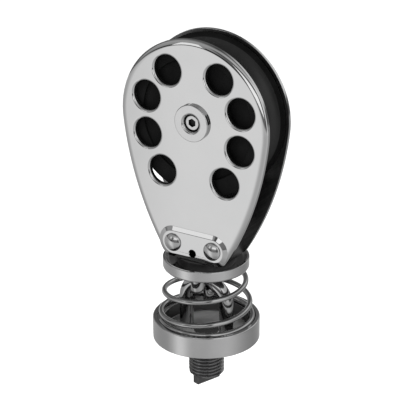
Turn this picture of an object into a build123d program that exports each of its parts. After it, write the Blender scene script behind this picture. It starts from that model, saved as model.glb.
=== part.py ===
"""Stand-up block: a grooved sheave between two polished cheeks, held upright on a deck by a conical spring.

Two interlocked rod bails inside the spring tie the head to the base and let it lean every way.
Units are millimetres. +Z is up along the deck stud, the front cheek faces -Y, and the origin is the
middle of the base's underside, where it meets the deck.
"""
from build123d import *

import os
from math import asin, atan2, cos, degrees, hypot, pi, radians, sin, sqrt

# Base ring and deck stud
base_height = 12.5
base_floor = 3.0
base_wall = 2.4
base_edge_rounding = 0.8
stud_radius = 10.0
stud_length = 23.8
stud_chamfer = 1.4
stud_shoulder = 3.0
stud_recess = 0.8
stud_neck = 1.0
tang_inset = 0.6
tang_thickness = 4.5
tang_length = 5.2
tang_turn = 20.0
tang_rounding = 0.8

# Interlocked bails
rod_radius = 4.0
bail_crown = 33.7
bail_gap = 0.6
bail_socket_depth = 1.8
bail_socket_wall = 1.9
upper_bail_leg = 8.9

# Spring
wire_radius = 1.5
spring_bottom_radius = 25.8
spring_top_radius = 19.8
spring_bottom_end = 0.36
spring_top_end = 0.6
spring_start_angle = -4.0
spring_pitch = 13.3
spring_bottom_easing = 0.85
spring_top_easing = 0.2
spring_taper_power = 1.5
spring_points_per_turn = 16
spring_ledge_depth = 1.9

# Spring cup
cup_height = 6.4
cup_wall = 1.8
cup_rim = 1.2
cup_floor = 3.4
cup_rounding = 1.5
cup_groove_depth = 2.1
spigot_wall = 1.35

# Head: cheeks and foot block
head_width = 26.6
cheek_thickness = 3.0
head_radius = 45.25
cheek_side_radius = 178.0
cheek_drop = 80.5
cheek_foot_half_width = 18.2
cheek_foot_gap = 1.3
cheek_corner_radius = 4.0
cheek_edge_rounding = 2.2
hole_radius = 8.2
hole_flare = 1.5
hole_land = 0.5
hole_edge_wall = 4.85
hole_web = 1.5
first_hole_angle = 31.0
last_hole_angle = 111.0
low_hole_web = 2.4
low_hole_lean = 24.6
pad_height = 1.2
pad_rounding = 0.6
pad_margin = 0.8
rivet_inset = 5.7
rivet_rise = 9.1
rivet_shank_radius = 3.5
rivet_head_radius = 5.1
rivet_head_height = 2.6
rivet_head_edge = 0.7
pin_hole_radius = 2.1
pin_hole_rise = 5.0
foot_block_inset = 0.7
foot_block_height = 18.0
foot_block_corner = 5.0
foot_flange_lap = 2.0
foot_flange_margin = 1.5

# Sheave and its roller bearing
sheave_margin = 1.65
groove_depth = 7.6
groove_land = 0.8
rim_wall = 2.4
hub_wall = 3.95
web_recess = 1.5
outer_race_wall = 1.9
roller_radius = 2.0
roller_count = 12
cage_wall = 1.4
cage_end = 1.3
cage_inset = 0.7
inner_race_wall = 2.0
washer_thickness = 0.5
washer_lap = 0.85

# Axle with its caps and screws
axle_radius = 9.0
axle_cap_height = 2.0
axle_cap_rounding = 0.7
axle_cap_lap = 2.3
cap_spigot_step = 1.0
cap_recess_flare = 0.9
cap_seat = 1.0
screw_radius = 2.5
screw_head_radius = 4.25
screw_head_height = 2.6
screw_reach = 7.0
screw_edge = 0.35
hex_socket_flats = 4.0
hex_socket_depth = 1.8

# Clearances
fit_clearance = 0.05
roller_clearance = 0.05
pocket_clearance = 0.1
screw_clearance = 0.1
seat_clearance = 0.3
washer_clearance = 0.3
recess_clearance = 0.95
spring_entry_clearance = 0.9

# Base, worked out from the stud, the bails and the spring
stud_spigot_radius = stud_radius - stud_shoulder
tang_width = 2 * (stud_radius - stud_chamfer - tang_inset)
bail_socket_radius = rod_radius + fit_clearance
bail_half_span = stud_spigot_radius + fit_clearance + bail_socket_wall + bail_socket_radius
arch_centre = bail_crown - bail_half_span
bail_link_radius = 2 * rod_radius + bail_gap
spring_seat = base_height - spring_ledge_depth
spring_seat_radius = spring_bottom_radius + wire_radius + seat_clearance
base_bore_radius = spring_bottom_radius - wire_radius - seat_clearance
base_radius = spring_seat_radius + base_wall

# Cup and foot block, worked out from the upper bail and the top coil
cup_bottom = bail_crown + upper_bail_leg
cup_top = cup_bottom + cup_height
cup_inner_floor = cup_bottom + cup_floor
cup_groove_inner = spring_top_radius - wire_radius - seat_clearance
cup_groove_outer = spring_top_radius + wire_radius + spring_entry_clearance
cup_radius = cup_groove_outer + cup_wall
cup_hole_radius = bail_link_radius + bail_socket_radius + spigot_wall
foot_flange_radius = cup_hole_radius + foot_flange_lap
cup_dish_flat = foot_flange_radius + foot_flange_margin
spring_bottom = spring_seat + wire_radius
spring_top = cup_bottom + cup_groove_depth - wire_radius
spring_turns = (spring_top - spring_bottom) / spring_pitch + (spring_bottom_easing + spring_top_easing) / 2

# Head, worked out from the cheeks' foot upwards
cheek_foot = cup_top + cheek_foot_gap
axle_height = cheek_foot + cheek_drop
cheek_gap = head_width - 2 * cheek_thickness
rivet_height = cheek_foot + rivet_rise
rivet_offset = cheek_foot_half_width - rivet_inset
pad_end_radius = rivet_rise - pad_margin
pin_hole_height = cheek_foot + pin_hole_rise
foot_block_half_width = cheek_foot_half_width - foot_block_inset
hole_lip_radius = hole_radius + hole_flare
hole_back_rounding = cheek_thickness - hole_flare - hole_land
hole_circle_radius = head_radius - hole_lip_radius - hole_edge_wall
least_hole_step = 2 * degrees(asin((hole_lip_radius + hole_web / 2) / hole_circle_radius))
holes_on_circle = 1 + int((last_hole_angle - first_hole_angle) / least_hole_step)

# Sheave and axle, worked out from the axle outwards and from the gap between the cheeks
inner_race_radius = axle_radius + fit_clearance + inner_race_wall
roller_circle_radius = inner_race_radius + roller_radius + roller_clearance
outer_race_bore = roller_circle_radius + roller_radius + roller_clearance
outer_race_radius = outer_race_bore + outer_race_wall
sheave_hub_radius = outer_race_radius + hub_wall
sheave_radius = head_radius - sheave_margin
web_outer_radius = sheave_radius - groove_depth - rim_wall
washer_radius = outer_race_bore + washer_lap
sheave_width = cheek_gap - 2 * (washer_thickness + washer_clearance)
groove_half_width = sheave_width / 2 - groove_land
cage_length = sheave_width - 2 * cage_inset
roller_length = cage_length - 2 * cage_end
cap_spigot_radius = axle_radius - cap_spigot_step
axle_cap_radius = cap_spigot_radius + axle_cap_lap
cap_recess_radius = screw_head_radius + recess_clearance
cap_recess_depth = cheek_thickness + axle_cap_height - cap_seat


def turned(*points):
    """Solid of revolution about Z from (radius, height) points and arcs, with the axis side closed."""
    return revolve(Plane.XZ * make_face(Polyline(*points, close=True)), Axis.Z)


def across(solid):
    """Turns a solid built along Z so that it lies along Y at the axle's height."""
    return Pos(0, 0, axle_height) * Rot(X=90) * solid


def circles(solid, radius):
    """Circular edges of one radius."""
    return solid.edges().filter_by(GeomType.CIRCLE).filter_by(lambda edge: abs(edge.radius - radius) < 0.01)


def ring(outer, inner, length):
    """Plain tube centred on the origin, along Z."""
    return Cylinder(outer, length) - Cylinder(inner, length)


def rod_along(path):
    """Round bar of the bails' thickness, swept along a wire."""
    start = path.edges()[0]
    section = Plane(origin=start @ 0, z_dir=start % 0) * Circle(rod_radius)
    return sweep(section, path=path)


def base_ring():
    """Turned base: a floor, a raised wall and a ledge inside the wall for the lowest coil."""
    body = turned(
        (0, 0), (base_radius, 0), (base_radius, base_height), (spring_seat_radius, base_height),
        (spring_seat_radius, spring_seat), (base_bore_radius, spring_seat),
        (base_bore_radius, base_floor), (0, base_floor),
    )
    body = fillet(circles(body, base_radius), base_edge_rounding)
    body -= Pos(0, 0, base_floor / 2) * Cylinder(stud_spigot_radius + fit_clearance, base_floor)
    body -= Pos(0, 0, stud_recess / 2) * Cylinder(stud_radius + fit_clearance, stud_recess)
    socket = Cylinder(bail_socket_radius, 2 * bail_socket_depth)
    for side in (-1, 1):
        body -= Pos(side * bail_half_span, 0, base_floor) * socket
    return body


def deck_stud():
    """Stud under the base, let into its underside, with a spigot through its floor and a flat tang below."""
    body = Pos(0, 0, -stud_length / 2) * Cylinder(stud_radius, stud_length)
    body = chamfer(body.faces().sort_by(Axis.Z)[0].edges(), stud_chamfer)
    body += Pos(0, 0, stud_recess / 2) * Cylinder(stud_radius - stud_neck, stud_recess)
    body += Pos(0, 0, base_floor / 2) * Cylinder(stud_spigot_radius, base_floor)
    tang = Box(tang_thickness, tang_width, tang_length)
    tang = fillet(tang.faces().sort_by(Axis.Z)[0].edges(), tang_rounding)
    return body + Pos(0, 0, -stud_length - tang_length / 2) * Rot(Z=-tang_turn) * tang


def lower_bail():
    """Rod arch that stands in the base, parallel to the cheeks."""
    foot = base_floor - bail_socket_depth
    left, right = (-bail_half_span, 0, arch_centre), (bail_half_span, 0, arch_centre)
    path = Wire([
        Line((-bail_half_span, 0, foot), left),
        ThreePointArc(left, (0, 0, bail_crown), right),
        Line(right, (bail_half_span, 0, foot)),
    ])
    return rod_along(path)


def upper_bail():
    """Rod U that hangs from the head and passes under the crown of the lower bail."""
    top = cup_bottom + bail_socket_depth
    front, back = (0, -bail_link_radius, bail_crown), (0, bail_link_radius, bail_crown)
    path = Wire([
        Line((0, -bail_link_radius, top), front),
        ThreePointArc(front, (0, 0, bail_crown - bail_link_radius), back),
        Line(back, (0, bail_link_radius, top)),
    ])
    return rod_along(path)


def spring_rise(turn):
    """Height that the wire has gained: the slope eases in from flat, holds its pitch and eases out again."""
    left = spring_turns - turn
    if turn <= 0:
        return 0
    if left <= 0:
        return spring_top - spring_bottom
    if turn < spring_bottom_easing:
        return spring_pitch * turn**2 / (2 * spring_bottom_easing)
    if left < spring_top_easing:
        return spring_top - spring_bottom - spring_pitch * left**2 / (2 * spring_top_easing)
    return spring_pitch * (turn - spring_bottom_easing / 2)


def spring_point(turn):
    """Point on the wire's middle line, counted in turns from where it leaves the base's ledge."""
    share = min(max(turn / spring_turns, 0), 1)
    radius = spring_bottom_radius - (spring_bottom_radius - spring_top_radius) * share**spring_taper_power
    angle = radians(spring_start_angle) + 2 * pi * turn
    return Vector(radius * cos(angle), radius * sin(angle), spring_bottom + spring_rise(turn))


def spring():
    """Conical compression spring with a closed part turn at each end."""
    first, last = -spring_bottom_end, spring_turns + spring_top_end
    count = round((last - first) * spring_points_per_turn)
    points = [spring_point(first + (last - first) * step / count) for step in range(count + 1)]
    path = Spline(*points)
    section = Plane(origin=path @ 0, z_dir=path % 0) * Circle(wire_radius)
    return sweep(section, path=path, is_frenet=True)


def spring_cup():
    """Shallow turned cup with a groove underneath for the top coil."""
    body = turned(
        (0, cup_bottom), (cup_radius, cup_bottom), (cup_radius, cup_top), (cup_radius - cup_rim, cup_top),
        (cup_dish_flat, cup_inner_floor), (0, cup_inner_floor),
    )
    body = fillet(circles(body, cup_radius).sort_by(Axis.Z)[0], cup_rounding)
    groove = ring(cup_groove_outer, cup_groove_inner, cup_groove_depth)
    body -= Pos(0, 0, cup_bottom + cup_groove_depth / 2) * groove
    return body - Pos(0, 0, cup_bottom) * Cylinder(cup_hole_radius, 2 * cup_height)


def foot_block():
    """Block riveted between the cheeks, with a round flange in the cup and a spigot through it."""
    block = Box(2 * foot_block_half_width, cheek_gap, foot_block_height)
    body = Pos(0, 0, cheek_foot + foot_block_height / 2) * block
    body = fillet(body.edges().filter_by(Axis.Y).sort_by(Axis.Z)[-2:], foot_block_corner)
    flange_height = cheek_foot - cup_inner_floor
    body += Pos(0, 0, cup_inner_floor + flange_height / 2) * Cylinder(foot_flange_radius, flange_height)
    body += Pos(0, 0, cup_bottom + cup_floor / 2) * Cylinder(cup_hole_radius - fit_clearance, cup_floor)
    for side in (-1, 1):
        socket = Cylinder(bail_socket_radius, 2 * bail_socket_depth)
        body -= Pos(0, side * bail_link_radius, cup_bottom) * socket
        rivet_hole = Cylinder(rivet_shank_radius + fit_clearance, cheek_gap)
        body -= Pos(side * rivet_offset, 0, rivet_height) * Rot(X=90) * rivet_hole
    return body - Pos(0, 0, pin_hole_height) * Rot(X=90) * Cylinder(pin_hole_radius, cheek_gap)


def hole_places():
    """Middles of the flared holes in a cheek, as (x, z) from the axle."""
    places = []
    spread = last_hole_angle - first_hole_angle
    for index in range(holes_on_circle):
        angle = radians(last_hole_angle - spread * index / max(holes_on_circle - 1, 1))
        places.append((hole_circle_radius * sin(angle), hole_circle_radius * cos(angle)))
    reach = 2 * hole_lip_radius + low_hole_web
    lean = radians(low_hole_lean)
    places.append((places[0][0] - reach * sin(lean), places[0][1] - reach * cos(lean)))
    return [(side * x, z) for side in (-1, 1) for x, z in places]


def side_arc_centre():
    """Middle of the right side's large arc: inside the head circle's tangent, through the foot's corner."""
    inner, outer = cheek_side_radius - head_radius, cheek_side_radius
    foot_distance = hypot(cheek_foot_half_width, cheek_drop)
    along = (inner**2 - outer**2 + foot_distance**2) / (2 * foot_distance)
    offset = sqrt(inner**2 - along**2)
    ux, uz = cheek_foot_half_width / foot_distance, -cheek_drop / foot_distance
    return along * ux + offset * uz, along * uz - offset * ux


def cheek_outline():
    """Egg-shaped face about the axle: a round head, two large side arcs and a flat foot."""
    centre_x, centre_z = side_arc_centre()
    tangent = atan2(-centre_z, -centre_x)
    join_x, join_z = head_radius * cos(tangent), head_radius * sin(tangent)
    foot_angle = asin((-cheek_drop - centre_z) / cheek_side_radius)
    middle = (tangent + foot_angle) / 2
    mid_x = centre_x + cheek_side_radius * cos(middle)
    mid_z = centre_z + cheek_side_radius * sin(middle)
    foot_x = cheek_foot_half_width
    outline = make_face([
        ThreePointArc((join_x, join_z), (0, head_radius), (-join_x, join_z)),
        ThreePointArc((-join_x, join_z), (-mid_x, mid_z), (-foot_x, -cheek_drop)),
        Line((-foot_x, -cheek_drop), (foot_x, -cheek_drop)),
        ThreePointArc((foot_x, -cheek_drop), (mid_x, mid_z), (join_x, join_z)),
    ])
    return fillet(outline.vertices().sort_by(Axis.Y)[:2], cheek_corner_radius)


def front_cheek():
    """Polished plate with a rolled edge, flared holes, a raised pad round the rivets and the axle's hole."""
    body = extrude(cheek_outline(), cheek_thickness)
    body = fillet(body.faces().sort_by(Axis.Z)[-1].edges(), cheek_edge_rounding)
    pad = extrude(SlotCenterToCenter(2 * rivet_offset, 2 * pad_end_radius), cheek_thickness + pad_height)
    pad = fillet(pad.faces().sort_by(Axis.Z)[-1].edges(), pad_rounding)
    body += Pos(0, rivet_height - axle_height, 0) * pad
    for x, z in hole_places():
        body -= Pos(x, z, cheek_thickness / 2) * Cylinder(hole_radius, cheek_thickness)
    lips = body.faces().filter_by(GeomType.PLANE).sort_by(SortBy.AREA)[-2:].sort_by(Axis.Z)[-1].edges()
    lips = lips.filter_by(GeomType.CIRCLE).filter_by(lambda edge: abs(edge.radius - hole_radius) < 0.01)
    body = fillet(lips, hole_flare)
    body = fillet(circles(body, hole_radius).group_by(Axis.Z)[0], hole_back_rounding)
    body -= Cylinder(cap_spigot_radius + fit_clearance, 2 * cheek_thickness)
    through = 2 * (cheek_thickness + pad_height)
    for side in (-1, 1):
        rivet_hole = Cylinder(rivet_shank_radius + fit_clearance, through)
        body -= Pos(side * rivet_offset, rivet_height - axle_height, 0) * rivet_hole
    body -= Pos(0, pin_hole_height - axle_height, 0) * Cylinder(pin_hole_radius, through)
    return Pos(0, -cheek_gap / 2, axle_height) * Rot(X=90) * body


def back_cheek():
    """The same plate on the far side."""
    return mirror(front_cheek(), about=Plane.XZ)


def rivet(side):
    """Domed rivet through both cheeks and the foot block."""
    seat = head_width / 2 + pad_height
    body = Cylinder(rivet_shank_radius, 2 * seat)
    dome_radius = (rivet_head_radius**2 + (rivet_head_height - rivet_head_edge) ** 2) / (
        2 * (rivet_head_height - rivet_head_edge)
    )
    dome_centre = seat + rivet_head_height - dome_radius
    for end in (0, 180):
        disc = Pos(0, 0, seat + rivet_head_height / 2) * Cylinder(rivet_head_radius, rivet_head_height)
        head = disc & (Pos(0, 0, dome_centre) * Sphere(dome_radius))
        body += Rot(X=end) * head
    return Pos(side * rivet_offset, 0, rivet_height) * Rot(X=90) * body


def sheave():
    """Grooved wheel with a hub, a recessed web and a thick rim."""
    groove_radius = (groove_half_width**2 + groove_depth**2) / (2 * groove_depth)
    body = ring(sheave_radius, outer_race_radius, sheave_width)
    groove_centre = sheave_radius - groove_depth + groove_radius
    body -= Torus(groove_centre, groove_radius)
    recess = ring(web_outer_radius, sheave_hub_radius, web_recess)
    for side in (-1, 1):
        body -= Pos(0, 0, side * (sheave_width - web_recess) / 2) * recess
    return across(body)


def outer_race():
    """Sleeve pressed into the sheave's bore."""
    return across(ring(outer_race_radius, outer_race_bore, sheave_width))


def inner_race():
    """Sleeve on the axle, between the two washers."""
    length = cheek_gap - 2 * washer_thickness
    return across(ring(inner_race_radius, axle_radius + fit_clearance, length))


def roller_places():
    """Positions of the rollers round the axle."""
    return PolarLocations(roller_circle_radius, roller_count)


def bearing_rollers():
    """Rollers between the races."""
    rollers = [place * Cylinder(roller_radius, roller_length) for place in roller_places()]
    return Compound(children=[across(roller) for roller in rollers])


def roller_cage():
    """Sleeve with a pocket round each roller."""
    body = ring(roller_circle_radius + cage_wall, roller_circle_radius - cage_wall, cage_length)
    pocket = Cylinder(roller_radius + pocket_clearance, roller_length + 2 * pocket_clearance)
    for place in roller_places():
        body -= place * pocket
    return across(body)


def thrust_washer(side):
    """Thin ring between a cheek and the bearing."""
    middle = side * (cheek_gap - washer_thickness) / 2
    washer = ring(washer_radius, axle_radius + fit_clearance, washer_thickness)
    return Pos(0, middle, 0) * across(washer)


def axle():
    """Axle tube that spaces the cheeks, threaded at both ends for the cap screws."""
    return across(ring(axle_radius, screw_radius, cheek_gap))


def axle_cap(side):
    """Flat disc outside a cheek, with a spigot through the cheek and a flared recess for the screw."""
    top = cheek_thickness + axle_cap_height
    disc = Pos(0, 0, cheek_thickness + axle_cap_height / 2) * Cylinder(axle_cap_radius, axle_cap_height)
    disc = fillet(disc.faces().sort_by(Axis.Z)[-1].edges(), axle_cap_rounding)
    body = disc + Pos(0, 0, cheek_thickness / 2) * Cylinder(cap_spigot_radius, cheek_thickness)
    body -= Pos(0, 0, top - cap_recess_depth / 2) * Cylinder(cap_recess_radius, cap_recess_depth)
    mouth = body.faces().filter_by(GeomType.PLANE).sort_by(Axis.Z)[-1].edges().sort_by(SortBy.RADIUS)[0]
    body = fillet(mouth, cap_recess_flare)
    body -= Cylinder(screw_radius + screw_clearance, 2 * top)
    return Pos(0, side * cheek_gap / 2, axle_height) * Rot(X=-side * 90) * body


def axle_screw(side):
    """Socket-head screw that holds a cap to the axle."""
    seat = cheek_thickness + axle_cap_height - cap_recess_depth
    head = Pos(0, 0, seat + screw_head_height / 2) * Cylinder(screw_head_radius, screw_head_height)
    head = chamfer(head.faces().sort_by(Axis.Z)[-1].edges(), screw_edge)
    socket = extrude(RegularPolygon(hex_socket_flats / 2, 6, major_radius=False), hex_socket_depth)
    head -= Pos(0, 0, seat + screw_head_height - hex_socket_depth) * socket
    shank = Cylinder(screw_radius - fit_clearance, seat + screw_reach)
    body = head + Pos(0, 0, (seat - screw_reach) / 2) * shank
    return Pos(0, side * cheek_gap / 2, axle_height) * Rot(X=-side * 90) * body


nodes = {
    "base_ring": base_ring(),
    "deck_stud": deck_stud(),
    "lower_bail": lower_bail(),
    "upper_bail": upper_bail(),
    "spring": spring(),
    "spring_cup": spring_cup(),
    "foot_block": foot_block(),
    "front_cheek": front_cheek(),
    "back_cheek": back_cheek(),
    "left_rivet": rivet(-1),
    "right_rivet": rivet(1),
    "sheave": sheave(),
    "outer_race": outer_race(),
    "inner_race": inner_race(),
    "bearing_rollers": bearing_rollers(),
    "roller_cage": roller_cage(),
    "front_thrust_washer": thrust_washer(-1),
    "back_thrust_washer": thrust_washer(1),
    "axle": axle(),
    "front_axle_cap": axle_cap(-1),
    "back_axle_cap": axle_cap(1),
    "front_axle_screw": axle_screw(-1),
    "back_axle_screw": axle_screw(1),
}

os.makedirs("parts", exist_ok=True)
for name, shape in nodes.items():
    export_step(shape, f"parts/{name}.step")
    centre = shape.bounding_box().center()
    print(f"{name:20s} volume {shape.volume:10.1f}  middle {centre.X:7.2f} {centre.Y:7.2f} {centre.Z:7.2f}")
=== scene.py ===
from math import acos, asin, atan2, ceil, cos, hypot, pi, radians, sin, sqrt

import bmesh
import bpy
from mathutils import Matrix, Vector, geometry


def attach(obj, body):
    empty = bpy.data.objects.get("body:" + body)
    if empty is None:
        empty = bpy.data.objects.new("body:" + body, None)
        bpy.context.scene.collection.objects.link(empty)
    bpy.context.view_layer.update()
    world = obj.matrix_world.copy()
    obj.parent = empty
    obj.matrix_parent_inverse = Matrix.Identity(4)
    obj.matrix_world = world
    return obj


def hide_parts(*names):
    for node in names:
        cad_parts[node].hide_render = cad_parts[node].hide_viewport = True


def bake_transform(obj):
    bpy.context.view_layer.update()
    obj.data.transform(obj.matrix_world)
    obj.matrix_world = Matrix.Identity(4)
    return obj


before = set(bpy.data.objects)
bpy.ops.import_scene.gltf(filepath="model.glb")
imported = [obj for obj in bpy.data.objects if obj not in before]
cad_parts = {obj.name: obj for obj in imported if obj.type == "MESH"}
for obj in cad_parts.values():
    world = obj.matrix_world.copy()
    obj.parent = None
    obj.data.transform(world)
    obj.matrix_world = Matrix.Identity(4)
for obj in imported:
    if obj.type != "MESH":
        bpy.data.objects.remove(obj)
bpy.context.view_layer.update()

# Lengths are in millimetres and are scaled to metres when a mesh is made.
MM = 0.001

# Sizes of the CAD solids and of the finer forms that these pieces add
base_radius, base_height, base_floor = 30.0, 12.5, 3.0
seat_radius, seat_height, base_bore = 27.6, 10.6, 24.0
stud_radius, stud_length, stud_chamfer = 10.0, 23.8, 1.4
spigot_radius, neck_radius, stud_recess = 7.0, 9.0, 0.8
tang_width, tang_thickness, tang_length, tang_turn = 16.0, 4.5, 5.2, 20.0
tang_rounding, tang_root = 0.55, 1.0
thread_pitch, thread_depth, thread_root, thread_flank = 2.0, 1.15, 0.12, 0.72
rod_radius, half_span, crown, link_radius, bail_socket = 4.0, 13.0, 33.7, 8.6, 1.8
cup_bottom, cup_top, cup_radius, cup_floor = 42.6, 49.0, 24.0, 46.0
cup_hole, groove_in, groove_out, groove_top, dish_flat = 14.0, 18.0, 22.2, 44.7, 17.0
dish_edge, dish_edge_height, cup_rim = 20.9, 46.6, 1.2
wire, coil_bottom, coil_top = 1.5, 25.8, 19.8
coil_low, coil_high = 12.1, 43.2
coil_pitch, coil_ease_in, coil_ease_out, coil_start, coil_taper = 13.3, 0.85, 0.2, -4.0, 1.5
coil_first, coil_cut, coil_last = -0.36, 1.545, 3.463
axle = 130.8
gap_half, face_y = 10.3, 13.3
head_radius, side_radius, foot_half, foot_drop, corner_radius = 45.25, 178.0, 18.2, 80.5, 4.0
crown_width, crown_depth, back_edge = 3.4, 1.45, 0.2
toe_share, toe_reach = 0.6, 8.0
bore_radius, flare, back_round = 8.2, 1.5, 0.2
hole_circle, hole_angles, low_hole_gap, low_hole_lean = 30.7, (31, 71, 111), 2.4, 24.6
pad_radius, pad_slope, pad_flat, pad_height, pad_depth, pad_rise = 9.3, 2.6, 4.7, 1.2, 1.5, 0.25
rivet_x, rivet_drop, rivet_radius, rivet_height, rivet_edge, rivet_shank = 12.5, 71.4, 5.1, 2.6, 0.7, 3.5
pin_drop, pin_radius, pin_edge = 75.5, 2.1, 0.3
sheave_radius, groove_depth, sheave_half, groove_half = 43.6, 7.6, 9.5, 8.7
race_radius, hub_radius, web_radius, web_recess, web_edge = 17.05, 21.0, 33.6, 1.5, 34.0
cap_radius, cap_top, cap_spigot, recess_radius, recess_floor, recess_mouth = 10.3, 15.3, 8.0, 4.8, 11.3, 1.1
screw_radius, screw_height, screw_face, screw_bore = 4.1, 2.6, 2.9, 0.5
socket_mouth, socket_radius, socket_edge = 2.45, 2.31, 0.2
socket_depth, socket_point, socket_dark = 1.8, 2.2, 2.3
fit, touch, centre_dot, any_height = 0.05, 0.02, 0.001, 99


def add_mesh(name, verts, faces, sharp=32):
    """Object from points in millimetres, with its normals outwards and smooth shading up to an angle."""
    mesh = bpy.data.meshes.new(name)
    mesh.from_pydata([(x * MM, y * MM, z * MM) for x, y, z in verts], [], faces)
    form = bmesh.new()
    form.from_mesh(mesh)
    bmesh.ops.remove_doubles(form, verts=form.verts, dist=1e-7)
    bmesh.ops.dissolve_degenerate(form, dist=1e-8, edges=form.edges)
    bmesh.ops.recalc_face_normals(form, faces=form.faces)
    form.to_mesh(mesh)
    form.free()
    mesh.shade_smooth()
    mesh.set_sharp_from_angle(angle=radians(sharp))
    piece = bpy.data.objects.new(name, mesh)
    bpy.context.collection.objects.link(piece)
    weighted = piece.modifiers.new("even_normals", "WEIGHTED_NORMAL")
    weighted.keep_sharp = True
    return piece


def rounded(points, closed=False, steps=6):
    """Polyline whose corners are arcs. A point is (a, b) or (a, b, radius)."""
    out = []
    count = len(points)
    for index, point in enumerate(points):
        here = Vector(point[:2])
        radius = point[2] if len(point) > 2 else 0
        if not radius or (not closed and index in (0, count - 1)):
            out.append(tuple(here))
            continue
        before = (Vector(points[index - 1][:2]) - here).normalized()
        after = (Vector(points[(index + 1) % count][:2]) - here).normalized()
        angle = acos(max(-1, min(1, before.dot(after))))
        reach = radius / max(1e-6, sin(angle / 2) / cos(angle / 2))
        middle = here + (before + after).normalized() * (radius / sin(angle / 2))
        first, last = here + before * reach - middle, here + after * reach - middle
        sweep = first.angle(last)
        for step in range(steps + 1):
            share = step / steps
            mix = (sin((1 - share) * sweep) * first + sin(share * sweep) * last) / sin(sweep)
            out.append(tuple(middle + mix))
    return out


def turned(profile, closed=True, segments=180, along="Z"):
    """Points and faces of a profile of (radius, height) turned about Z, or about the axle along Y."""
    verts, faces = [], []
    for radius, height in profile:
        for step in range(segments):
            angle = 2 * pi * step / segments
            x, y = radius * cos(angle), radius * sin(angle)
            verts.append((x, y, height) if along == "Z" else (x, height, axle + y))
    count = len(profile)
    for index in range(count if closed else count - 1):
        low, high = index * segments, (index + 1) % count * segments
        for step in range(segments):
            after = (step + 1) % segments
            faces.append((low + step, low + after, high + after, high + step))
    return verts, faces


def joined(*parts):
    """One list of points and faces from several."""
    verts, faces = [], []
    for more_verts, more_faces in parts:
        start = len(verts)
        verts += more_verts
        faces += [tuple(start + index for index in face) for face in more_faces]
    return verts, faces


def moved(part, change):
    """The same faces with changed points."""
    return [change(*point) for point in part[0]], part[1]


def tube(path, radius, sides=40, capped=True):
    """Round bar along a list of points, without twist."""
    path = [Vector(point) for point in path]
    verts, faces = [], []
    tangent = (path[1] - path[0]).normalized()
    side = tangent.orthogonal().normalized()
    for index, point in enumerate(path):
        ahead = path[min(index + 1, len(path) - 1)]
        behind = path[max(index - 1, 0)]
        turn = tangent.rotation_difference((ahead - behind).normalized())
        side = (turn @ side).normalized()
        tangent = (ahead - behind).normalized()
        up = tangent.cross(side)
        for step in range(sides):
            angle = 2 * pi * step / sides
            verts.append(tuple(point + radius * (cos(angle) * side + sin(angle) * up)))
    for index in range(len(path) - 1):
        low, high = index * sides, (index + 1) * sides
        for step in range(sides):
            after = (step + 1) % sides
            faces.append((low + step, low + after, high + after, high + step))
    if capped:
        faces.append(tuple(reversed(range(sides))))
        faces.append(tuple(range(len(verts) - sides, len(verts))))
    return verts, faces


# Materials

def new_material(name):
    """Node material with its node tree, its shader and the piece's own coordinates."""
    mat = bpy.data.materials.new(name)
    mat.use_nodes = True
    tree = mat.node_tree
    tree.nodes.clear()
    out = tree.nodes.new("ShaderNodeOutputMaterial")
    shader = tree.nodes.new("ShaderNodeBsdfPrincipled")
    tree.links.new(shader.outputs[0], out.inputs[0])
    coords = tree.nodes.new("ShaderNodeTexCoord").outputs["Object"]
    return mat, tree, shader, coords


def math_node(tree, kind, *values):
    """Maths node with sockets or numbers as its values."""
    node = tree.nodes.new("ShaderNodeMath")
    node.operation = kind
    for index, value in enumerate(values):
        if isinstance(value, (int, float)):
            node.inputs[index].default_value = value
        else:
            tree.links.new(value, node.inputs[index])
    return node.outputs[0]


def mixed(tree, first, second, share):
    """Mean of two values, weighted by the first one's share."""
    part = math_node(tree, "MULTIPLY", first, share)
    rest = math_node(tree, "MULTIPLY", second, round(1 - share, 6))
    return math_node(tree, "ADD", part, rest)


def stretched(tree, coords, scale):
    """Coordinates multiplied by three numbers."""
    node = tree.nodes.new("ShaderNodeVectorMath")
    node.operation = "MULTIPLY"
    tree.links.new(coords, node.inputs[0])
    node.inputs[1].default_value = scale
    return node.outputs[0]


def lathe_coords(tree, coords, along="Z"):
    """Coordinates that hardly change round a turned piece, so that a texture on them is made of rings."""
    split = tree.nodes.new("ShaderNodeSeparateXYZ")
    tree.links.new(coords, split.inputs[0])
    across = split.outputs["Y"]
    if along == "Y":
        across = math_node(tree, "SUBTRACT", split.outputs["Z"], axle * MM)
    square = math_node(tree, "MULTIPLY", split.outputs["X"], split.outputs["X"])
    other = math_node(tree, "MULTIPLY", across, across)
    radius = math_node(tree, "SQRT", math_node(tree, "ADD", square, other))
    join = tree.nodes.new("ShaderNodeCombineXYZ")
    tree.links.new(radius, join.inputs[0])
    tree.links.new(split.outputs["Z"] if along == "Z" else split.outputs["Y"], join.inputs[1])
    tree.links.new(math_node(tree, "MULTIPLY", split.outputs["X"], 0.004), join.inputs[2])
    return join.outputs[0]


def noise(tree, vector, scale, detail=4.0, rough=0.55):
    """Noise texture's value."""
    node = tree.nodes.new("ShaderNodeTexNoise")
    node.inputs["Scale"].default_value = scale
    node.inputs["Detail"].default_value = detail
    node.inputs["Roughness"].default_value = rough
    tree.links.new(vector, node.inputs["Vector"])
    return node.outputs["Fac"]


def ramp(tree, value, *stops):
    """Colour ramp with (place, grey or colour) stops."""
    node = tree.nodes.new("ShaderNodeValToRGB")
    band = node.color_ramp
    while len(band.elements) < len(stops):
        band.elements.new(0.5)
    for element, (place, tone) in zip(band.elements, stops):
        element.position = place
    for element, (place, tone) in zip(band.elements, stops):
        element.color = (*tone, 1) if isinstance(tone, tuple) else (tone, tone, tone, 1)
    tree.links.new(value, node.inputs[0])
    return node.outputs[0]


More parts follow.
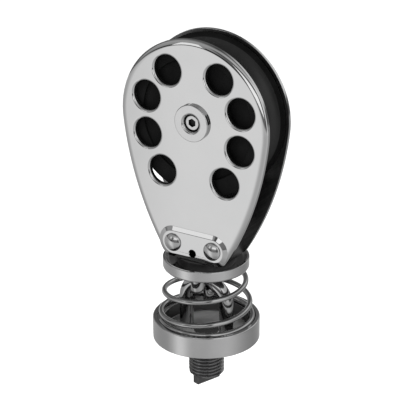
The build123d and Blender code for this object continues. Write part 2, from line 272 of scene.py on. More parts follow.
def bumps(tree, shader, *layers):
    """Bump from (value, strength, distance) layers, one over the other."""
    last = None
    for value, strength, distance in layers:
        node = tree.nodes.new("ShaderNodeBump")
        node.inputs["Strength"].default_value = strength
        node.inputs["Distance"].default_value = distance
        tree.links.new(value, node.inputs["Height"])
        if last:
            tree.links.new(last, node.inputs["Normal"])
        last = node.outputs[0]
    tree.links.new(last, shader.inputs["Normal"])


def polished_steel(name, tone=0.62, low=0.03, high=0.07, wave=0.03):
    """Mirror-polished stainless steel with faint haze, fine polishing marks and a slight waviness."""
    mat, tree, shader, coords = new_material(name)
    shader.inputs["Metallic"].default_value = 1.0
    haze = noise(tree, coords, 45, 3)
    marks = noise(tree, stretched(tree, coords, (2600, 2600, 260)), 1.0, 3)
    colour = ramp(tree, haze, (0.3, (tone * 0.965, tone * 0.968, tone * 0.97)), (0.7, (tone, tone, tone)))
    tree.links.new(colour, shader.inputs["Base Color"])
    rough = ramp(tree, mixed(tree, haze, marks, 0.6), (0.35, low), (0.65, high))
    tree.links.new(rough, shader.inputs["Roughness"])
    bumps(tree, shader, (noise(tree, coords, 22, 1), wave, 0.001), (marks, 0.015, 0.0001))
    return mat


def satin_steel(name, along="Z", tone=0.6, low=0.15, high=0.22, cut=0.03):
    """Turned stainless steel with fine rings from the tool, which scatter the light along the axis."""
    mat, tree, shader, coords = new_material(name)
    shader.inputs["Metallic"].default_value = 1.0
    rings = lathe_coords(tree, coords, along)
    fine = noise(tree, rings, 5200, 3)
    coarse = noise(tree, rings, 900, 2)
    stain = noise(tree, coords, 70, 4)
    colour = ramp(tree, stain, (0.3, (tone * 0.93, tone * 0.93, tone * 0.935)), (0.7, (tone, tone, tone)))
    tree.links.new(colour, shader.inputs["Base Color"])
    rough = ramp(tree, mixed(tree, fine, coarse, 0.5), (0.3, low), (0.7, high))
    tree.links.new(rough, shader.inputs["Roughness"])
    bumps(tree, shader, (coarse, cut * 0.5, 0.0002), (fine, cut, 0.00005))
    return mat


def brushed_steel(name, tone=0.3):
    """Stainless steel left as it was ground, with long scratches that run slantwise."""
    mat, tree, shader, coords = new_material(name)
    shader.inputs["Metallic"].default_value = 1.0
    turn = tree.nodes.new("ShaderNodeVectorRotate")
    turn.rotation_type = "Y_AXIS"
    turn.inputs["Angle"].default_value = radians(40)
    tree.links.new(coords, turn.inputs["Vector"])
    scratches = noise(tree, stretched(tree, turn.outputs[0], (60, 60, 2600)), 1.0, 4)
    cloud = noise(tree, coords, 60, 3)
    tree.links.new(ramp(tree, scratches, (0.35, tone * 0.7), (0.7, tone)), shader.inputs["Base Color"])
    rough = ramp(tree, mixed(tree, scratches, cloud, 0.6), (0.3, 0.28), (0.7, 0.45))
    tree.links.new(rough, shader.inputs["Roughness"])
    bumps(tree, shader, (scratches, 0.25, 0.0001))
    return mat


def black_composite(name, low, high, specular):
    """Black turned composite with faint rings and fine grain."""
    mat, tree, shader, coords = new_material(name)
    shader.inputs["Specular IOR Level"].default_value = specular
    rings = lathe_coords(tree, coords, "Y")
    turning = noise(tree, rings, 2400, 3)
    grain = noise(tree, coords, 1800, 4)
    patches = noise(tree, coords, 90, 3)
    tree.links.new(ramp(tree, patches, (0.3, 0.004), (0.7, 0.007)), shader.inputs["Base Color"])
    rough = ramp(tree, mixed(tree, turning, patches, 0.5), (0.3, low), (0.7, high))
    tree.links.new(rough, shader.inputs["Roughness"])
    bumps(tree, shader, (turning, 0.1, 0.0001), (grain, 0.12, 0.00008))
    return mat


def matt_surface(name, low, high):
    """Matt surface with a slight mottle."""
    mat, tree, shader, coords = new_material(name)
    mottle = noise(tree, coords, 300, 4)
    tree.links.new(ramp(tree, mottle, (0.3, low), (0.7, high)), shader.inputs["Base Color"])
    tree.links.new(ramp(tree, mottle, (0.3, 0.4), (0.7, 0.55)), shader.inputs["Roughness"])
    bumps(tree, shader, (noise(tree, coords, 2000, 3), 0.1, 0.0001))
    return mat


# Steels: name, axis of a turned one, tone, least and greatest roughness, depth of its waves or rings
mirror = polished_steel("polished_cheek", 0.64, 0.02, 0.05, 0.012)
# Bails and spring wire are toned darker than the cheeks' steel, as painted shade under the cup
rod_metal = polished_steel("polished_rod", 0.45, 0.05, 0.1, 0.02)
wire_metal = polished_steel("polished_wire", 0.46, 0.08, 0.14, 0.02)
screw_metal = polished_steel("polished_screw", 0.6, 0.04, 0.1, 0.03)
satin = satin_steel("satin_turned")
satin_axle = satin_steel("satin_axle", "Y", 0.63, 0.04, 0.09, 0.015)
polished_turned = satin_steel("polished_turned", "Z", 0.58, 0.06, 0.12, 0.015)
# Dark copy of the polished turned steel for the cup's dish, as painted shade
dish_shade_metal = satin_steel("polished_dish_shade", "Z", 0.2, 0.05, 0.1, 0.015)
# Dark copy of the turned steel for the wall of the base's well, as painted shade
well_wall_shade = satin_steel("well_wall_shade", "Z", 0.16, 0.12, 0.2, 0.02)
# The stud's steel is toned down as painted shade under the base
thread_metal = satin_steel("threaded_stud", "Z", 0.22, 0.12, 0.2, 0.08)
tang_metal = satin_steel("stud_tang_dark", "Z", 0.14, 0.3, 0.45, 0.08)
rivet_metal = polished_steel("rivet_domes", 0.6, 0.12, 0.18, 0.02)
# Brushed steel of the cheeks' inner faces: the slanting scratches are real, the dark tone is painted shade
# in the gap
brushed_and_shaded = brushed_steel("brushed_inside_shade", 0.22)
# Dark steel inside the caps' recesses and the screws' sockets, as painted shade
recess_shade_steel = satin_steel("socket_and_recess_shade", "Z", 0.06, 0.4, 0.6, 0.05)
# Composites: name, least and greatest roughness, gloss
black = black_composite("black_groove", 0.34, 0.48, 0.5)
black_side = black_composite("black_sides", 0.6, 0.75, 0.06)
# Matt surfaces: name, darkest and palest tone
pale = matt_surface("pale_bearing_plastic", 0.62, 0.7)
# Dark matt floor of the base's well, as painted shade
well_floor_shade = matt_surface("well_floor_painted_shade", 0.2, 0.26)


def dress(piece, body, *materials, node=None, slot=None):
    """Gives a piece its materials and its body, and hides the CAD node that it stands for. The slot is not
    used.
    """
    for mat in materials:
        piece.data.materials.append(mat)
    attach(piece, body)
    if node:
        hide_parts(node)
    return piece


def paint(piece, choose):
    """Material number of each face, chosen from its middle, in millimetres, and its normal."""
    for face in piece.data.polygons:
        face.material_index = int(choose(face.center / MM, face.normal))


def shine(piece, *cuts):
    """Other materials inside a radius and below a height: (radius, height, number), the last one wins."""
    def choose(middle, normal):
        number = 0
        for radius, height, other in cuts:
            if hypot(middle.x, middle.y) < radius and middle.z < height:
                number = other
        return number
    paint(piece, choose)


# Base ring and deck stud

def make_base():
    profile = rounded([
        (base_radius, 0, 0.4), (base_radius, base_height, 0.8), (seat_radius, base_height, 0.35),
        (seat_radius, seat_height, 0.3), (base_bore, seat_height, 0.3), (base_bore, base_floor, 0.8),
        (spigot_radius + fit, base_floor, 0.1), (spigot_radius + fit, stud_recess),
        (stud_radius + fit, stud_recess), (stud_radius + fit, 0),
    ], closed=True)
    piece = add_mesh("base_ring_turned", *turned(profile))
    dress(piece, "base", satin, polished_turned, well_wall_shade, well_floor_shade, node="base_ring", slot="satin_steel")
    # Polished top edge, then the wall and floor of the well, darkened as painted shade
    top, wall, floor = base_radius - 0.7, base_bore + 0.1, base_bore - 0.5
    shine(piece, (top, any_height, 1), (wall, any_height, 2), (floor, base_floor + 0.1, 3))


def thread_radius(share):
    """Thread's radius across one pitch: a flat crest, straight flanks and a rounded root."""
    side = abs(share - 0.5) * 2
    rise = min(1, max(0, (side - thread_root) / thread_flank))
    return stud_radius - thread_depth * (1 - rise)


def make_stud():
    segments, rows, clearance = 120, 12, 0.03
    verts, faces = [], []
    turns = int(ceil(stud_length / thread_pitch)) + 2
    total = turns * rows
    for row in range(total + 1):
        share = row / rows
        for step in range(segments + 1):
            angle = 2 * pi * step / segments
            height = thread_pitch * (share - turns + 1 + step / segments)
            radius = thread_radius(share % 1)
            radius = min(radius, stud_radius - clearance - max(0, -height - stud_length + stud_chamfer))
            radius = min(radius, neck_radius) if height > 0 else radius
            height = min(stud_recess, max(-stud_length, height))
            verts.append((radius * cos(angle), radius * sin(angle), height))
    for row in range(total):
        for step in range(segments):
            low = row * (segments + 1) + step
            faces.append((low, low + 1, low + segments + 2, low + segments + 1))
    screw = (verts, faces)
    end = [(centre_dot, -stud_length), (stud_radius - stud_chamfer, -stud_length)]
    spigot = rounded([
        (centre_dot, base_floor), (spigot_radius, base_floor, 0.3),
        (spigot_radius, stud_recess), (neck_radius, stud_recess),
    ])
    end, top = (turned(profile, closed=False, segments=segments) for profile in (end, spigot))
    piece = add_mesh("deck_stud_threaded", *joined(screw, end, top), sharp=40)
    dress(piece, "base", thread_metal, node="deck_stud", slot="satin_steel")
    box = bmesh.new()
    bmesh.ops.create_cube(box, size=1.0)
    bmesh.ops.scale(box, vec=(tang_thickness, tang_width, tang_length + tang_root), verts=box.verts)
    bmesh.ops.bevel(box, geom=box.edges, offset=tang_rounding, segments=4, profile=0.5, affect="EDGES")
    turn = Matrix.Rotation(radians(-tang_turn), 3, "Z")
    low = -stud_length - tang_length / 2 + tang_root / 2
    verts = [tuple(turn @ v.co + Vector((0, 0, low))) for v in box.verts]
    faces = [tuple(v.index for v in face.verts) for face in box.faces]
    box.free()
    return dress(add_mesh("stud_tang", verts, faces), "base", tang_metal, slot="satin_steel")


# Bails and spring

def arc(centre, radius, start, end, steps, plane):
    """Points on an arc in the X-Z or Y-Z plane, from the start to the end angle in degrees."""
    out = []
    for step in range(steps + 1):
        angle = radians(start + (end - start) * step / steps)
        across, up = centre[0] + radius * cos(angle), centre[1] + radius * sin(angle)
        out.append((across, 0, up) if plane == "XZ" else (0, across, up))
    return out


def straight(start, end, steps):
    """Points on a line."""
    return [tuple(Vector(start).lerp(Vector(end), step / steps)) for step in range(steps + 1)]


def make_bails():
    foot = base_floor - bail_socket
    shoulder = crown - half_span
    path = straight((half_span, 0, foot), (half_span, 0, shoulder), 12)[:-1]
    path += arc((0, shoulder), half_span, 0, 180, 60, "XZ")
    path += straight((-half_span, 0, shoulder), (-half_span, 0, foot), 12)[1:]
    lower = add_mesh("lower_bail_rod", *tube(path, rod_radius, 64))
    dress(lower, "base", rod_metal, node="lower_bail", slot="polished_steel")
    top = cup_bottom + bail_socket
    path = straight((0, link_radius, top), (0, link_radius, crown), 6)[:-1]
    path += arc((0, crown), link_radius, 0, -180, 48, "YZ")
    path += straight((0, -link_radius, crown), (0, -link_radius, top), 6)[1:]
    upper = add_mesh("upper_bail_rod", *tube(path, rod_radius, 64))
    dress(upper, "head", rod_metal, node="upper_bail", slot="polished_steel")


def coil_point(turn):
    """Point on the spring's middle line, in turns from where it leaves the base's ledge."""
    rise = coil_high - coil_low
    turns = rise / coil_pitch + (coil_ease_in + coil_ease_out) / 2
    left = turns - turn
    if turn <= 0:
        height = 0
    elif left <= 0:
        height = rise
    elif turn < coil_ease_in:
        height = coil_pitch * turn**2 / (2 * coil_ease_in)
    elif left < coil_ease_out:
        height = rise - coil_pitch * left**2 / (2 * coil_ease_out)
    else:
        height = coil_pitch * (turn - coil_ease_in / 2)
    share = min(max(turn / turns, 0), 1)
    radius = coil_bottom - (coil_bottom - coil_top) * share**coil_taper
    angle = radians(coil_start) + 2 * pi * turn
    return radius * cos(angle), radius * sin(angle), coil_low + height


def make_spring():
    """Two pieces that meet at a cut in the wire."""
    per_turn, sides = 72, 28
    for name, start, end, bodies, low, high in (
        ("spring_lower_turns", coil_first, coil_cut, ("base", "spring_link"), 12.5, 26.0),
        ("spring_upper_turns", coil_cut, coil_last, ("spring_link", "head"), 28.0, 42.0),
    ):
        count = round((end - start) * per_turn)
        path = [coil_point(start + (end - start) * step / count) for step in range(count + 1)]
        verts, faces = tube(path, wire, sides, capped=False)
        cap = tuple(range(len(verts) - sides, len(verts)))
        if start == coil_first:
            cap = tuple(reversed(range(sides)))
        piece = add_mesh(name, verts, faces + [cap], sharp=50)
        piece.data.materials.append(wire_metal)
        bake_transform(piece)
        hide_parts("spring")


def make_cup():
    profile = rounded([
        (cup_hole, cup_bottom, 0.2), (groove_in, cup_bottom, 0.3), (groove_in, groove_top, 0.4),
        (groove_out, groove_top, 0.4), (groove_out, cup_bottom, 0.15), (cup_radius, cup_bottom, 1.5),
        (cup_radius, cup_top, 0.45), (cup_radius - cup_rim, cup_top, 0.3),
        (dish_edge, dish_edge_height, 2.4), (dish_flat, cup_floor, 0.5), (cup_hole, cup_floor, 0.1),
    ], closed=True)
    piece = add_mesh("spring_cup_turned", *turned(profile))
    dress(piece, "head", satin, polished_turned, dish_shade_metal, node="spring_cup", slot="satin_steel")
    # Polished rim, and the dish inside darkened as painted shade
    shine(piece, (cup_radius - 0.3, any_height, 1), (cup_radius - 1.6, any_height, 2))


# Cheeks

def outline_arcs():
    """Arcs of the cheek's right half from the top to the foot: (middle, radius, start, end, steps)."""
    inner, outer = side_radius - head_radius, side_radius
    foot = hypot(foot_half, foot_drop)
    along = (inner**2 - outer**2 + foot**2) / (2 * foot)
    offset = sqrt(inner**2 - along**2)
    ux, uz = foot_half / foot, -foot_drop / foot
    centre = (along * ux + offset * uz, along * uz - offset * ux)
    tangent = atan2(-centre[1], -centre[0])
    corner_z = -foot_drop + corner_radius
    reach = side_radius - corner_radius
    corner_x = centre[0] + sqrt(reach**2 - (corner_z - centre[1]) ** 2)
    turn = atan2(corner_z - centre[1], corner_x - centre[0])
    return [
        ((0, 0), head_radius, pi / 2, tangent, 110),
        (centre, side_radius, tangent, turn, 44),
        ((corner_x, corner_z), corner_radius, turn, -pi / 2, 16),
    ]


def outline(inset):
    """Closed outline of the cheek, moved inwards but less so at the foot, as (x, z) from the axle."""
    half = []
    for centre, radius, start, end, steps in outline_arcs():
        for step in range(steps + 1):
            angle = start + (end - start) * step / steps
            reach = radius - inset
            half.append((centre[0] + reach * cos(angle), centre[1] + reach * sin(angle)))
    right = [half[0]]
    for point in half[1:]:
        if hypot(point[0] - right[-1][0], point[1] - right[-1][1]) > 1e-6:
            right.append(point)
    last_x, last_z = right[-1]
    foot = [(last_x * (1 - 2 * step / 10), last_z) for step in range(1, 10)]
    left = [(-x, z) for x, z in reversed(right)]
    points = []
    for x, z in right + foot + left[:-1]:
        drop = inset * toe_share * max(0, 1 - (z + foot_drop - inset) / toe_reach)
        points.append((x, z - drop))
    return points


def circle(x, z, radius, count=72):
    """Closed circle."""
    angles = [2 * pi * step / count for step in range(count)]
    return [(x + radius * cos(angle), z + radius * sin(angle)) for angle in angles]


def slot_outline(radius, count=32):
    """Closed outline of the pad round both rivets."""
    out = []
    for side, start in ((1, -90), (-1, 90)):
        for step in range(count + 1):
            angle = radians(start + 180 * step / count)
            out.append((side * rivet_x + radius * cos(angle), -rivet_drop + radius * sin(angle)))
    return out


def walls(loops):
    """Faces between closed loops of (x, z) at their heights: [(loop, height), ...]."""
    verts, faces = [], []
    count = len(loops[0][0])
    for loop, height in loops:
        verts += [(x, height, z) for x, z in loop]
    for index in range(len(loops) - 1):
        low, high = index * count, (index + 1) * count
        for step in range(count):
            after = (step + 1) % count
            faces.append((low + step, low + after, high + after, high + step))
    return verts, faces


def flat(height, *loops):
    """Flat face with holes: the first loop is the outside."""
    sets = [[Vector((x, z, 0)) for x, z in loop] for loop in loops]
    points = [point for loop in loops for point in loop]
    faces = [tuple(face) for face in geometry.tessellate_polygon(sets)]
    return [(x, height, z) for x, z in points], faces


def hole_places():
    """Middles of the flared holes, as (x, z) from the axle."""
    angles = [radians(angle) for angle in hole_angles]
    places = [(hole_circle * sin(angle), hole_circle * cos(angle)) for angle in angles]
    reach = 2 * (bore_radius + flare) + low_hole_gap
    lean = radians(low_hole_lean)
    places.append((places[-1][0] - reach * sin(lean), places[-1][1] - reach * cos(lean)))
    return [(side * x, z) for side in (-1, 1) for x, z in places]


def buffed(top, width, depth, steps=12):
    """(offset, height) pairs over a buffed edge, a quarter ellipse from the wall up to the face."""
    out = []
    for step in range(steps + 1):
        angle = pi / 2 * step / steps
        out.append((width * (1 - cos(angle)), top - depth * (1 - sin(angle))))
    return out


def cheek_parts():
    """Front cheek with its inner face at height 0 and its outer face at 3."""
    thick = face_y - gap_half
    parts = []
    edge = [(back_edge, 0), (0.3 * back_edge, 0.3 * back_edge), (0, back_edge)]
    edge += buffed(thick, crown_width, crown_depth, 18)
    parts.append(walls([(outline(inset), height) for inset, height in edge]))
    rounding = buffed(back_round, back_round, back_round, 6)
    lip = [(offset, back_round - height) for offset, height in reversed(rounding)]
    lip += buffed(thick, flare, flare, 12)
    for x, z in hole_places():
        parts.append(walls([(circle(x, z, bore_radius + offset), height) for offset, height in lip]))
    lips = [circle(x, z, bore_radius + flare) for x, z in hole_places()]
    bores = [circle(x, z, bore_radius + back_round) for x, z in hole_places()]
    axle_hole = circle(0, 0, cap_spigot + fit)
    parts.append(walls([(axle_hole, 0), (axle_hole, thick)]))
    top = thick + pad_height
    pad = rounded([
        (pad_radius, thick - pad_depth), (pad_radius, thick, 0.4),
        (pad_radius - pad_slope, top, 1.5), (pad_flat, top),
    ])
    lowest = pad_rise - foot_drop
    loops = [([(x, max(z, lowest)) for x, z in slot_outline(radius)], height) for radius, height in pad]
    parts.append(walls(loops))
    pin_hole = circle(0, -pin_drop, pin_radius, 40)
    pin_mouth = circle(0, -pin_drop, pin_radius + pin_edge, 40)
    parts.append(walls([(pin_hole, 0), (pin_hole, top - pin_edge), (pin_mouth, top)]))
    parts.append(flat(top, slot_outline(pad_flat), pin_mouth))
    parts.append(flat(thick, outline(crown_width), pin_hole, axle_hole, *lips))
    parts.append(flat(0, outline(back_edge), pin_hole, axle_hole, *bores))
    return joined(*parts)


def make_cheeks():
    """Both cheeks, polished but for their inner faces, which are brushed and darker as painted shade."""
    body = cheek_parts()
    for name, side in (("front", -1), ("back", 1)):
        placed = moved(body, lambda x, y, z: (x, side * (gap_half + y), axle + z))
        piece = add_mesh(f"{name}_cheek_plate", *placed)
        dress(piece, "head", mirror, brushed_and_shaded, node=f"{name}_cheek", slot="polished_steel")
        paint(piece, lambda middle, normal: abs(middle.y) < gap_half + touch)


def make_rivets():
    seat = face_y + pad_height
    rise, rounding = rivet_height - rivet_edge, 0.15
    dome = (rivet_radius**2 + rise**2) / (2 * rise)
    profile = [(centre_dot, seat + rivet_height)]
    sweep = asin(rivet_radius / dome)
    for step in range(1, 14):
        angle = sweep * step / 14
        profile.append((dome * sin(angle), seat + rivet_height - dome * (1 - cos(angle))))
    profile += [
        (rivet_radius - 0.1, seat + rivet_edge + 0.05), (rivet_radius, seat + rivet_edge - rounding),
        (rivet_radius, seat + rounding), (rivet_radius - rounding, seat - touch),
        (rivet_shank, seat - touch),
    ]
    for name, side in (("left", -1), ("right", 1)):
        parts = []
        for way in (-1, 1):
            head = turned(profile, closed=False, segments=72, along="Y")
            parts.append(moved(head, lambda x, y, z: (x + side * rivet_x, way * y, z - rivet_drop)))
        piece = add_mesh(f"{name}_rivet_domes", *joined(*parts))
        dress(piece, "head", rivet_metal, node=f"{name}_rivet", slot="polished_steel")


# Sheave, axle caps and screws

def make_sheave():
    groove = (groove_half**2 + groove_depth**2) / (2 * groove_depth)
    centre = sheave_radius - groove_depth + groove
    sweep = asin(groove_half / groove)
    face = sheave_half
    recess = face - web_recess
    side = [
        (race_radius, face, 0.3), (hub_radius, face, 0.5), (hub_radius, recess, 0.8),
        (web_radius, recess, 0.8), (web_radius, face, 0.5), (sheave_radius, face, 0.75),
    ]
    profile = [(r, -y, c) for r, y, c in side]
    profile.append((sheave_radius, -groove_half))
    for step in range(1, 40):
        angle = -sweep + 2 * sweep * step / 40
        profile.append((centre - groove * cos(angle), groove * sin(angle)))
    profile.append((sheave_radius, groove_half))
    profile += list(reversed(side))
    piece = add_mesh("sheave_wheel", *turned(rounded(profile, closed=True), segments=256, along="Y"))
    dress(piece, "wheel", black, black_side, node="sheave", slot="black_composite")
    paint(piece, lambda middle, normal: abs(normal.y) > 0.9 or hypot(middle.x, middle.z - axle) < web_edge)


def hexagon(radius, height, count=48):
    """Points on a hexagon's edge at even angles."""
    out = []
    for step in range(count):
        angle = 2 * pi * step / count
        reach = radius * cos(pi / 6) / cos((angle + pi / 6) % (pi / 3) - pi / 6)
        out.append((reach * cos(angle), reach * sin(angle), height))
    return out


def screw_head():
    """Socket-head screw along +Z, with its head's underside on the recess's floor."""
    count = 48
    seat, top = recess_floor, recess_floor + screw_height
    side = rounded([
        (screw_bore, seat), (screw_radius, seat, 0.2),
        (screw_radius, top, 0.4), (screw_face, top),
    ])
    loops = [[(x, y, level) for x, y in circle(0, 0, reach, count)] for reach, level in side]
    loops.append(hexagon(socket_mouth, top, count))
    loops.append(hexagon(socket_radius, top - socket_edge, count))
    loops.append(hexagon(socket_radius, top - socket_depth, count))
    loops.append([(0, 0, top - socket_point)] * count)
    verts = [point for loop in loops for point in loop]
    faces = []
    for index in range(len(loops) - 1):
        for step in range(count):
            after = (step + 1) % count
            low, high = index * count, (index + 1) * count
            faces.append((low + step, low + after, high + after, high + step))
    return verts, faces


def within(middle, radius, reach):
    """Whether a point lies inside a radius about the axle and a reach from the middle plane."""
    return hypot(middle.x, middle.z - axle) < radius and abs(middle.y) < reach


def make_caps():
    """Discs and screws at the axle's ends, with painted shade inside the recess and the socket."""
    profile = rounded([
        (centre_dot, recess_floor), (recess_radius, recess_floor, 0.2), (recess_radius, cap_top, 1.4),
        (cap_radius, cap_top, 0.5), (cap_radius, face_y - touch, 0.1), (cap_spigot, face_y - touch),
        (cap_spigot, gap_half + touch), (centre_dot, gap_half + touch),
    ], steps=8)
    head = screw_head()
    dark = recess_radius + touch, cap_top - recess_mouth
    dark_socket = socket_dark, recess_floor + socket_dark
    for name, side in (("front", -1), ("back", 1)):
        disc = moved(turned(profile, closed=False, along="Y"), lambda x, y, z: (x, side * y, z))
        piece = add_mesh(f"{name}_cap_disc", *disc)
        dress(piece, "head", satin_axle, recess_shade_steel, node=f"{name}_axle_cap", slot="polished_steel")
        paint(piece, lambda middle, normal: within(middle, *dark))
        screw = moved(head, lambda x, y, z: (x, side * z, axle + y))
        piece = add_mesh(f"{name}_screw_socket", *screw)
        dress(piece, "head", screw_metal, recess_shade_steel, node=f"{name}_axle_screw", slot="hardened_steel")
        paint(piece, lambda middle, normal: within(middle, *dark_socket))


make_base()
make_stud()
make_bails()
make_spring()
make_cup()
make_cheeks()
make_rivets()
make_sheave()
make_caps()

# The foot block between the cheeks takes the dark brushed steel of the inner faces, as painted shade
for node, mat in {
    "foot_block": brushed_and_shaded, "axle": satin_axle, "inner_race": satin_axle, "outer_race": satin_axle,
    "bearing_rollers": screw_metal, "roller_cage": black_side,
    "front_thrust_washer": pale, "back_thrust_washer": pale,
}.items():
    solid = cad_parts[node]
    for index in range(len(solid.material_slots)):
        solid.material_slots[index].material = mat


# Studio

# Directions are in degrees round the object from the studio's front, where the camera stands, and up from
# the level. The table glows by its tone below its far edge. Each layer of light is a tone round the object
# times a share by height, and the layers are added.
studio_front = -58.6
table_edge = [(-180, -4), (-95, 3), (-76, 0), (-62, -6), (-45, -9.5), (-30, -11), (40, -11), (180, -4)]
table_tones = [
    (-180, 1.1), (-172, 0.7), (-160, 0.48), (-110, 0.48), (-88, 0.52), (-78, 0.66), (-70, 0.8), (-64, 0.97),
    (-56, 0.97), (-48, 0.86), (-40, 0.66), (-30, 0.55), (-4, 0.54), (14, 0.6), (46, 0.67), (62, 0.58),
    (78, 0.46), (96, 0.38), (116, 0.32), (140, 0.38), (150, 0.42), (160, 0.65), (170, 1.0), (180, 1.1),
]
table_depths = [(-2, 0.0), (1.5, 1.0), (24, 1.0), (32, 0.87), (45, 0.68), (85, 0.6)]
light_layers = [
    # Dim room, paler at the left
    ([(-180, 0.1), (-160, 0.15), (-135, 0.3), (-120, 0.28), (-104, 0.06), (60, 0.03), (160, 0.03),
      (180, 0.1)],
     [(-10, 0.0), (2, 0.7), (14, 1.0), (60, 1.0), (90, 0.9)]),
    # Grey panel in front
    ([(-101, 0.0), (-95, 0.34), (-54, 0.34), (-48, 0.0)],
     [(2, 0.0), (8, 1.0), (23, 1.0), (27, 0.0)]),
    # Ceiling
    ([(-104, 0.0), (-94, 0.36), (-40, 0.38), (-28, 0.55), (-2, 0.55), (30, 0.28), (52, 0.0)],
     [(22, 0.0), (26, 1.0), (44, 1.0), (56, 0.6), (72, 0.15), (90, 0.08)]),
    # White wall at the right
    ([(9, 0.0), (16, 0.8), (45, 0.8), (62, 0.2), (80, 0.0)],
     [(-13, 0.0), (-9, 1.0), (36, 1.0), (46, 0.45), (60, 0.2), (90, 0.05)]),
    # Pale wall behind
    ([(45, 0.0), (70, 0.72), (138, 0.72), (158, 0.1), (180, 0.0)],
     [(6, 0.0), (14, 1.0), (36, 1.0), (46, 0.4), (60, 0.1)]),
    # Haze over the table, in front of the cheek and behind the block
    ([(-54, 0.0), (-40, 0.2), (-10, 0.2), (4, 0.0), (100, 0.0), (125, 0.26), (172, 0.26), (180, 0.1)],
     [(-16, 0.0), (-6, 1.0), (10, 1.0), (22, 0.2), (40, 0.0)]),
]

# Name, direction in degrees, then distance, shift to the right, height and size in millimetres, and glow
near_lamps = [
    ("strip_lamp", -62, 300, 0, 170, (50, 84), 1.15),
    ("softbox", -23.5, 220, 13, 143, (147, 68), 1.25),
]

# Name, place, target, size and watts, in metres
soft_lights = [
    ("key_light", (-0.9, -1.1, 1.5), (0, 0, 0.1), (0.9, 0.9), 26),
    ("top_light", (0.5, 0.2, 1.6), (0, 0, 0.1), (0.8, 0.8), 14),
]
tent_radius, tent_height = 0.65, 0.08
floor_radius, floor_height = 9.0, -0.36


def make_floor():
    """Pale matt floor with a faint mottle."""
    mat, tree, shader, coords = new_material("pale_floor")
    mottle = noise(tree, coords, 6, 3)
    tree.links.new(ramp(tree, mottle, (0.3, 0.891), (0.7, 0.9)), shader.inputs["Base Color"])
    shader.inputs["Roughness"].default_value = 0.9
    shader.inputs["Specular IOR Level"].default_value = 0.1
    bpy.ops.mesh.primitive_circle_add(
        vertices=96, radius=floor_radius, fill_type="NGON", location=(0, 0, floor_height))
    floor = bpy.context.object
    floor.name = "floor"
    floor.data.materials.append(mat)
    floor.visible_glossy = False


def make_glow(piece, name):
    """Makes a piece glow in reflections alone, and gives its node tree and its glow."""
    piece.name = name
    mat = bpy.data.materials.new(name)
    mat.use_nodes = True
    tree = mat.node_tree
    tree.nodes.clear()
    out = tree.nodes.new("ShaderNodeOutputMaterial")
    glow = tree.nodes.new("ShaderNodeEmission")
    tree.links.new(glow.outputs[0], out.inputs[0])
    piece.data.materials.append(mat)
    piece.visible_camera = False
    piece.visible_diffuse = False
    piece.visible_shadow = False
    piece.visible_transmission = False
    return tree, glow


def round_place(angle):
    """Place on a colour ramp of a direction round the object."""
    return (angle + 180) / 360


def up_place(height):
    """Place on a colour ramp of a direction up or down."""
    return (height + 90) / 180


def make_tent():
    """Ball of soft light and shade round the object. Only reflections see it, so it isn't in any picture."""
    bpy.ops.mesh.primitive_uv_sphere_add(
        segments=96, ring_count=48, radius=tent_radius, location=(0, 0, tent_height))
    tent = bpy.context.object
    tree, glow = make_glow(tent, "light_tent")
    split = tree.nodes.new("ShaderNodeSeparateXYZ")
    tree.links.new(tree.nodes.new("ShaderNodeTexCoord").outputs["Object"], split.inputs[0])
    around = math_node(tree, "ARCTAN2", split.outputs["Y"], split.outputs["X"])
    turn = math_node(tree, "DIVIDE", math_node(tree, "SUBTRACT", around, radians(studio_front)), 2 * pi)
    place = math_node(tree, "FRACT", math_node(tree, "ADD", turn, 1.5))
    # The sine is kept under 1 at the top and the bottom of the ball
    lean = math_node(tree, "ARCSINE", math_node(tree, "DIVIDE", split.outputs["Z"], tent_radius + 0.001))
    level = math_node(tree, "ADD", math_node(tree, "DIVIDE", lean, pi), 0.5)
    edge = ramp(tree, place, *[(round_place(angle), up_place(height)) for angle, height in table_edge])
    depth = math_node(tree, "ADD", math_node(tree, "SUBTRACT", edge, level), 0.5)
    tone = ramp(tree, place, *[(round_place(angle), tone) for angle, tone in table_tones])
    share = ramp(tree, depth, *[(up_place(below), share) for below, share in table_depths])
    total = math_node(tree, "MULTIPLY", tone, share)
    for tones, heights in light_layers:
        tone = ramp(tree, place, *[(round_place(angle), tone) for angle, tone in tones])
        share = ramp(tree, level, *[(up_place(height), share) for height, share in heights])
        total = math_node(tree, "ADD", total, math_node(tree, "MULTIPLY", tone, share))
    tree.links.new(total, glow.inputs["Color"])


def make_lamp(name, turn, reach, shift, height, size, strength):
    """Upright lamp near the block, which only reflections see."""
    angle = radians(studio_front + turn)
    place = reach * Vector((cos(angle), sin(angle), 0)) + shift * Vector((-sin(angle), cos(angle), 0))
    bpy.ops.mesh.primitive_plane_add(size=1.0)
    lamp = bpy.context.object
    lamp.location = (place + Vector((0, 0, height))) * MM
    lamp.rotation_euler = (pi / 2, 0, angle + pi / 2)
    lamp.scale = (size[0] * MM, size[1] * MM, 1)
    glow = make_glow(lamp, name)[1]
    glow.inputs["Strength"].default_value = strength


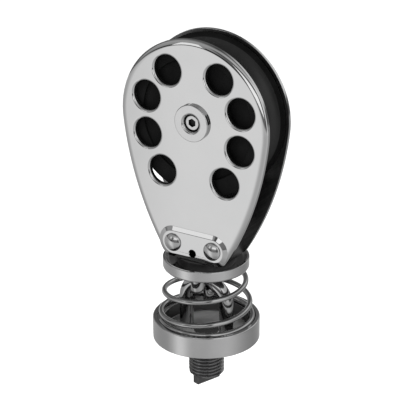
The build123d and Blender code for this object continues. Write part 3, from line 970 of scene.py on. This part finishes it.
def area_light(name, place, target, size, power):
    """Soft rectangular lamp for the matt surfaces. Neither the camera nor a reflection sees it."""
    lamp = bpy.data.lights.new(name, "AREA")
    lamp.shape = "RECTANGLE"
    lamp.size, lamp.size_y = size
    lamp.energy = power
    piece = bpy.data.objects.new(name, lamp)
    piece.location = place
    aim = Vector(target) - Vector(place)
    piece.rotation_euler = aim.to_track_quat("-Z", "Y").to_euler()
    piece.visible_camera = False
    piece.visible_glossy = False
    bpy.context.collection.objects.link(piece)


def make_world():
    world = bpy.data.worlds.new("studio")
    world.use_nodes = True
    shade = world.node_tree.nodes["Background"]
    shade.inputs["Color"].default_value = (1, 1, 1, 1)
    shade.inputs["Strength"].default_value = 1.0
    bpy.context.scene.world = world
    bpy.context.scene.view_settings.view_transform = "Standard"
    bpy.context.scene.view_settings.look = "None"


def make_camera():
    """Camera at the photograph's place, fitted to a square frame of 416 pixels."""
    azimuth, elevation, roll = radians(31.414), radians(22.982), radians(-0.165)
    aside, height, distance, focal_pixels, photo_pixels = 1.082, 77.06, 943.94, 1728.8, 416
    back = Vector((sin(azimuth) * cos(elevation), -cos(azimuth) * cos(elevation), sin(elevation)))
    right = Vector((cos(azimuth), sin(azimuth), 0))
    up = back.cross(right)
    tilted_right = cos(roll) * right + sin(roll) * up
    tilted_up = -sin(roll) * right + cos(roll) * up
    target = Vector((aside * cos(azimuth), aside * sin(azimuth), height)) * MM
    lens = bpy.data.cameras.new("camera")
    lens.sensor_width = 36
    lens.lens = focal_pixels / photo_pixels * lens.sensor_width
    lens.clip_start, lens.clip_end = 0.01, 50
    view = bpy.data.objects.new("camera", lens)
    turn = Matrix((tilted_right, tilted_up, back)).transposed().to_4x4()
    view.matrix_world = Matrix.Translation(target + back * distance * MM) @ turn
    bpy.context.collection.objects.link(view)
    bpy.context.scene.camera = view


make_camera()
make_world()
make_floor()
make_tent()
for near_lamp in near_lamps:
    make_lamp(*near_lamp)
for soft_light in soft_lights:
    area_light(*soft_light)
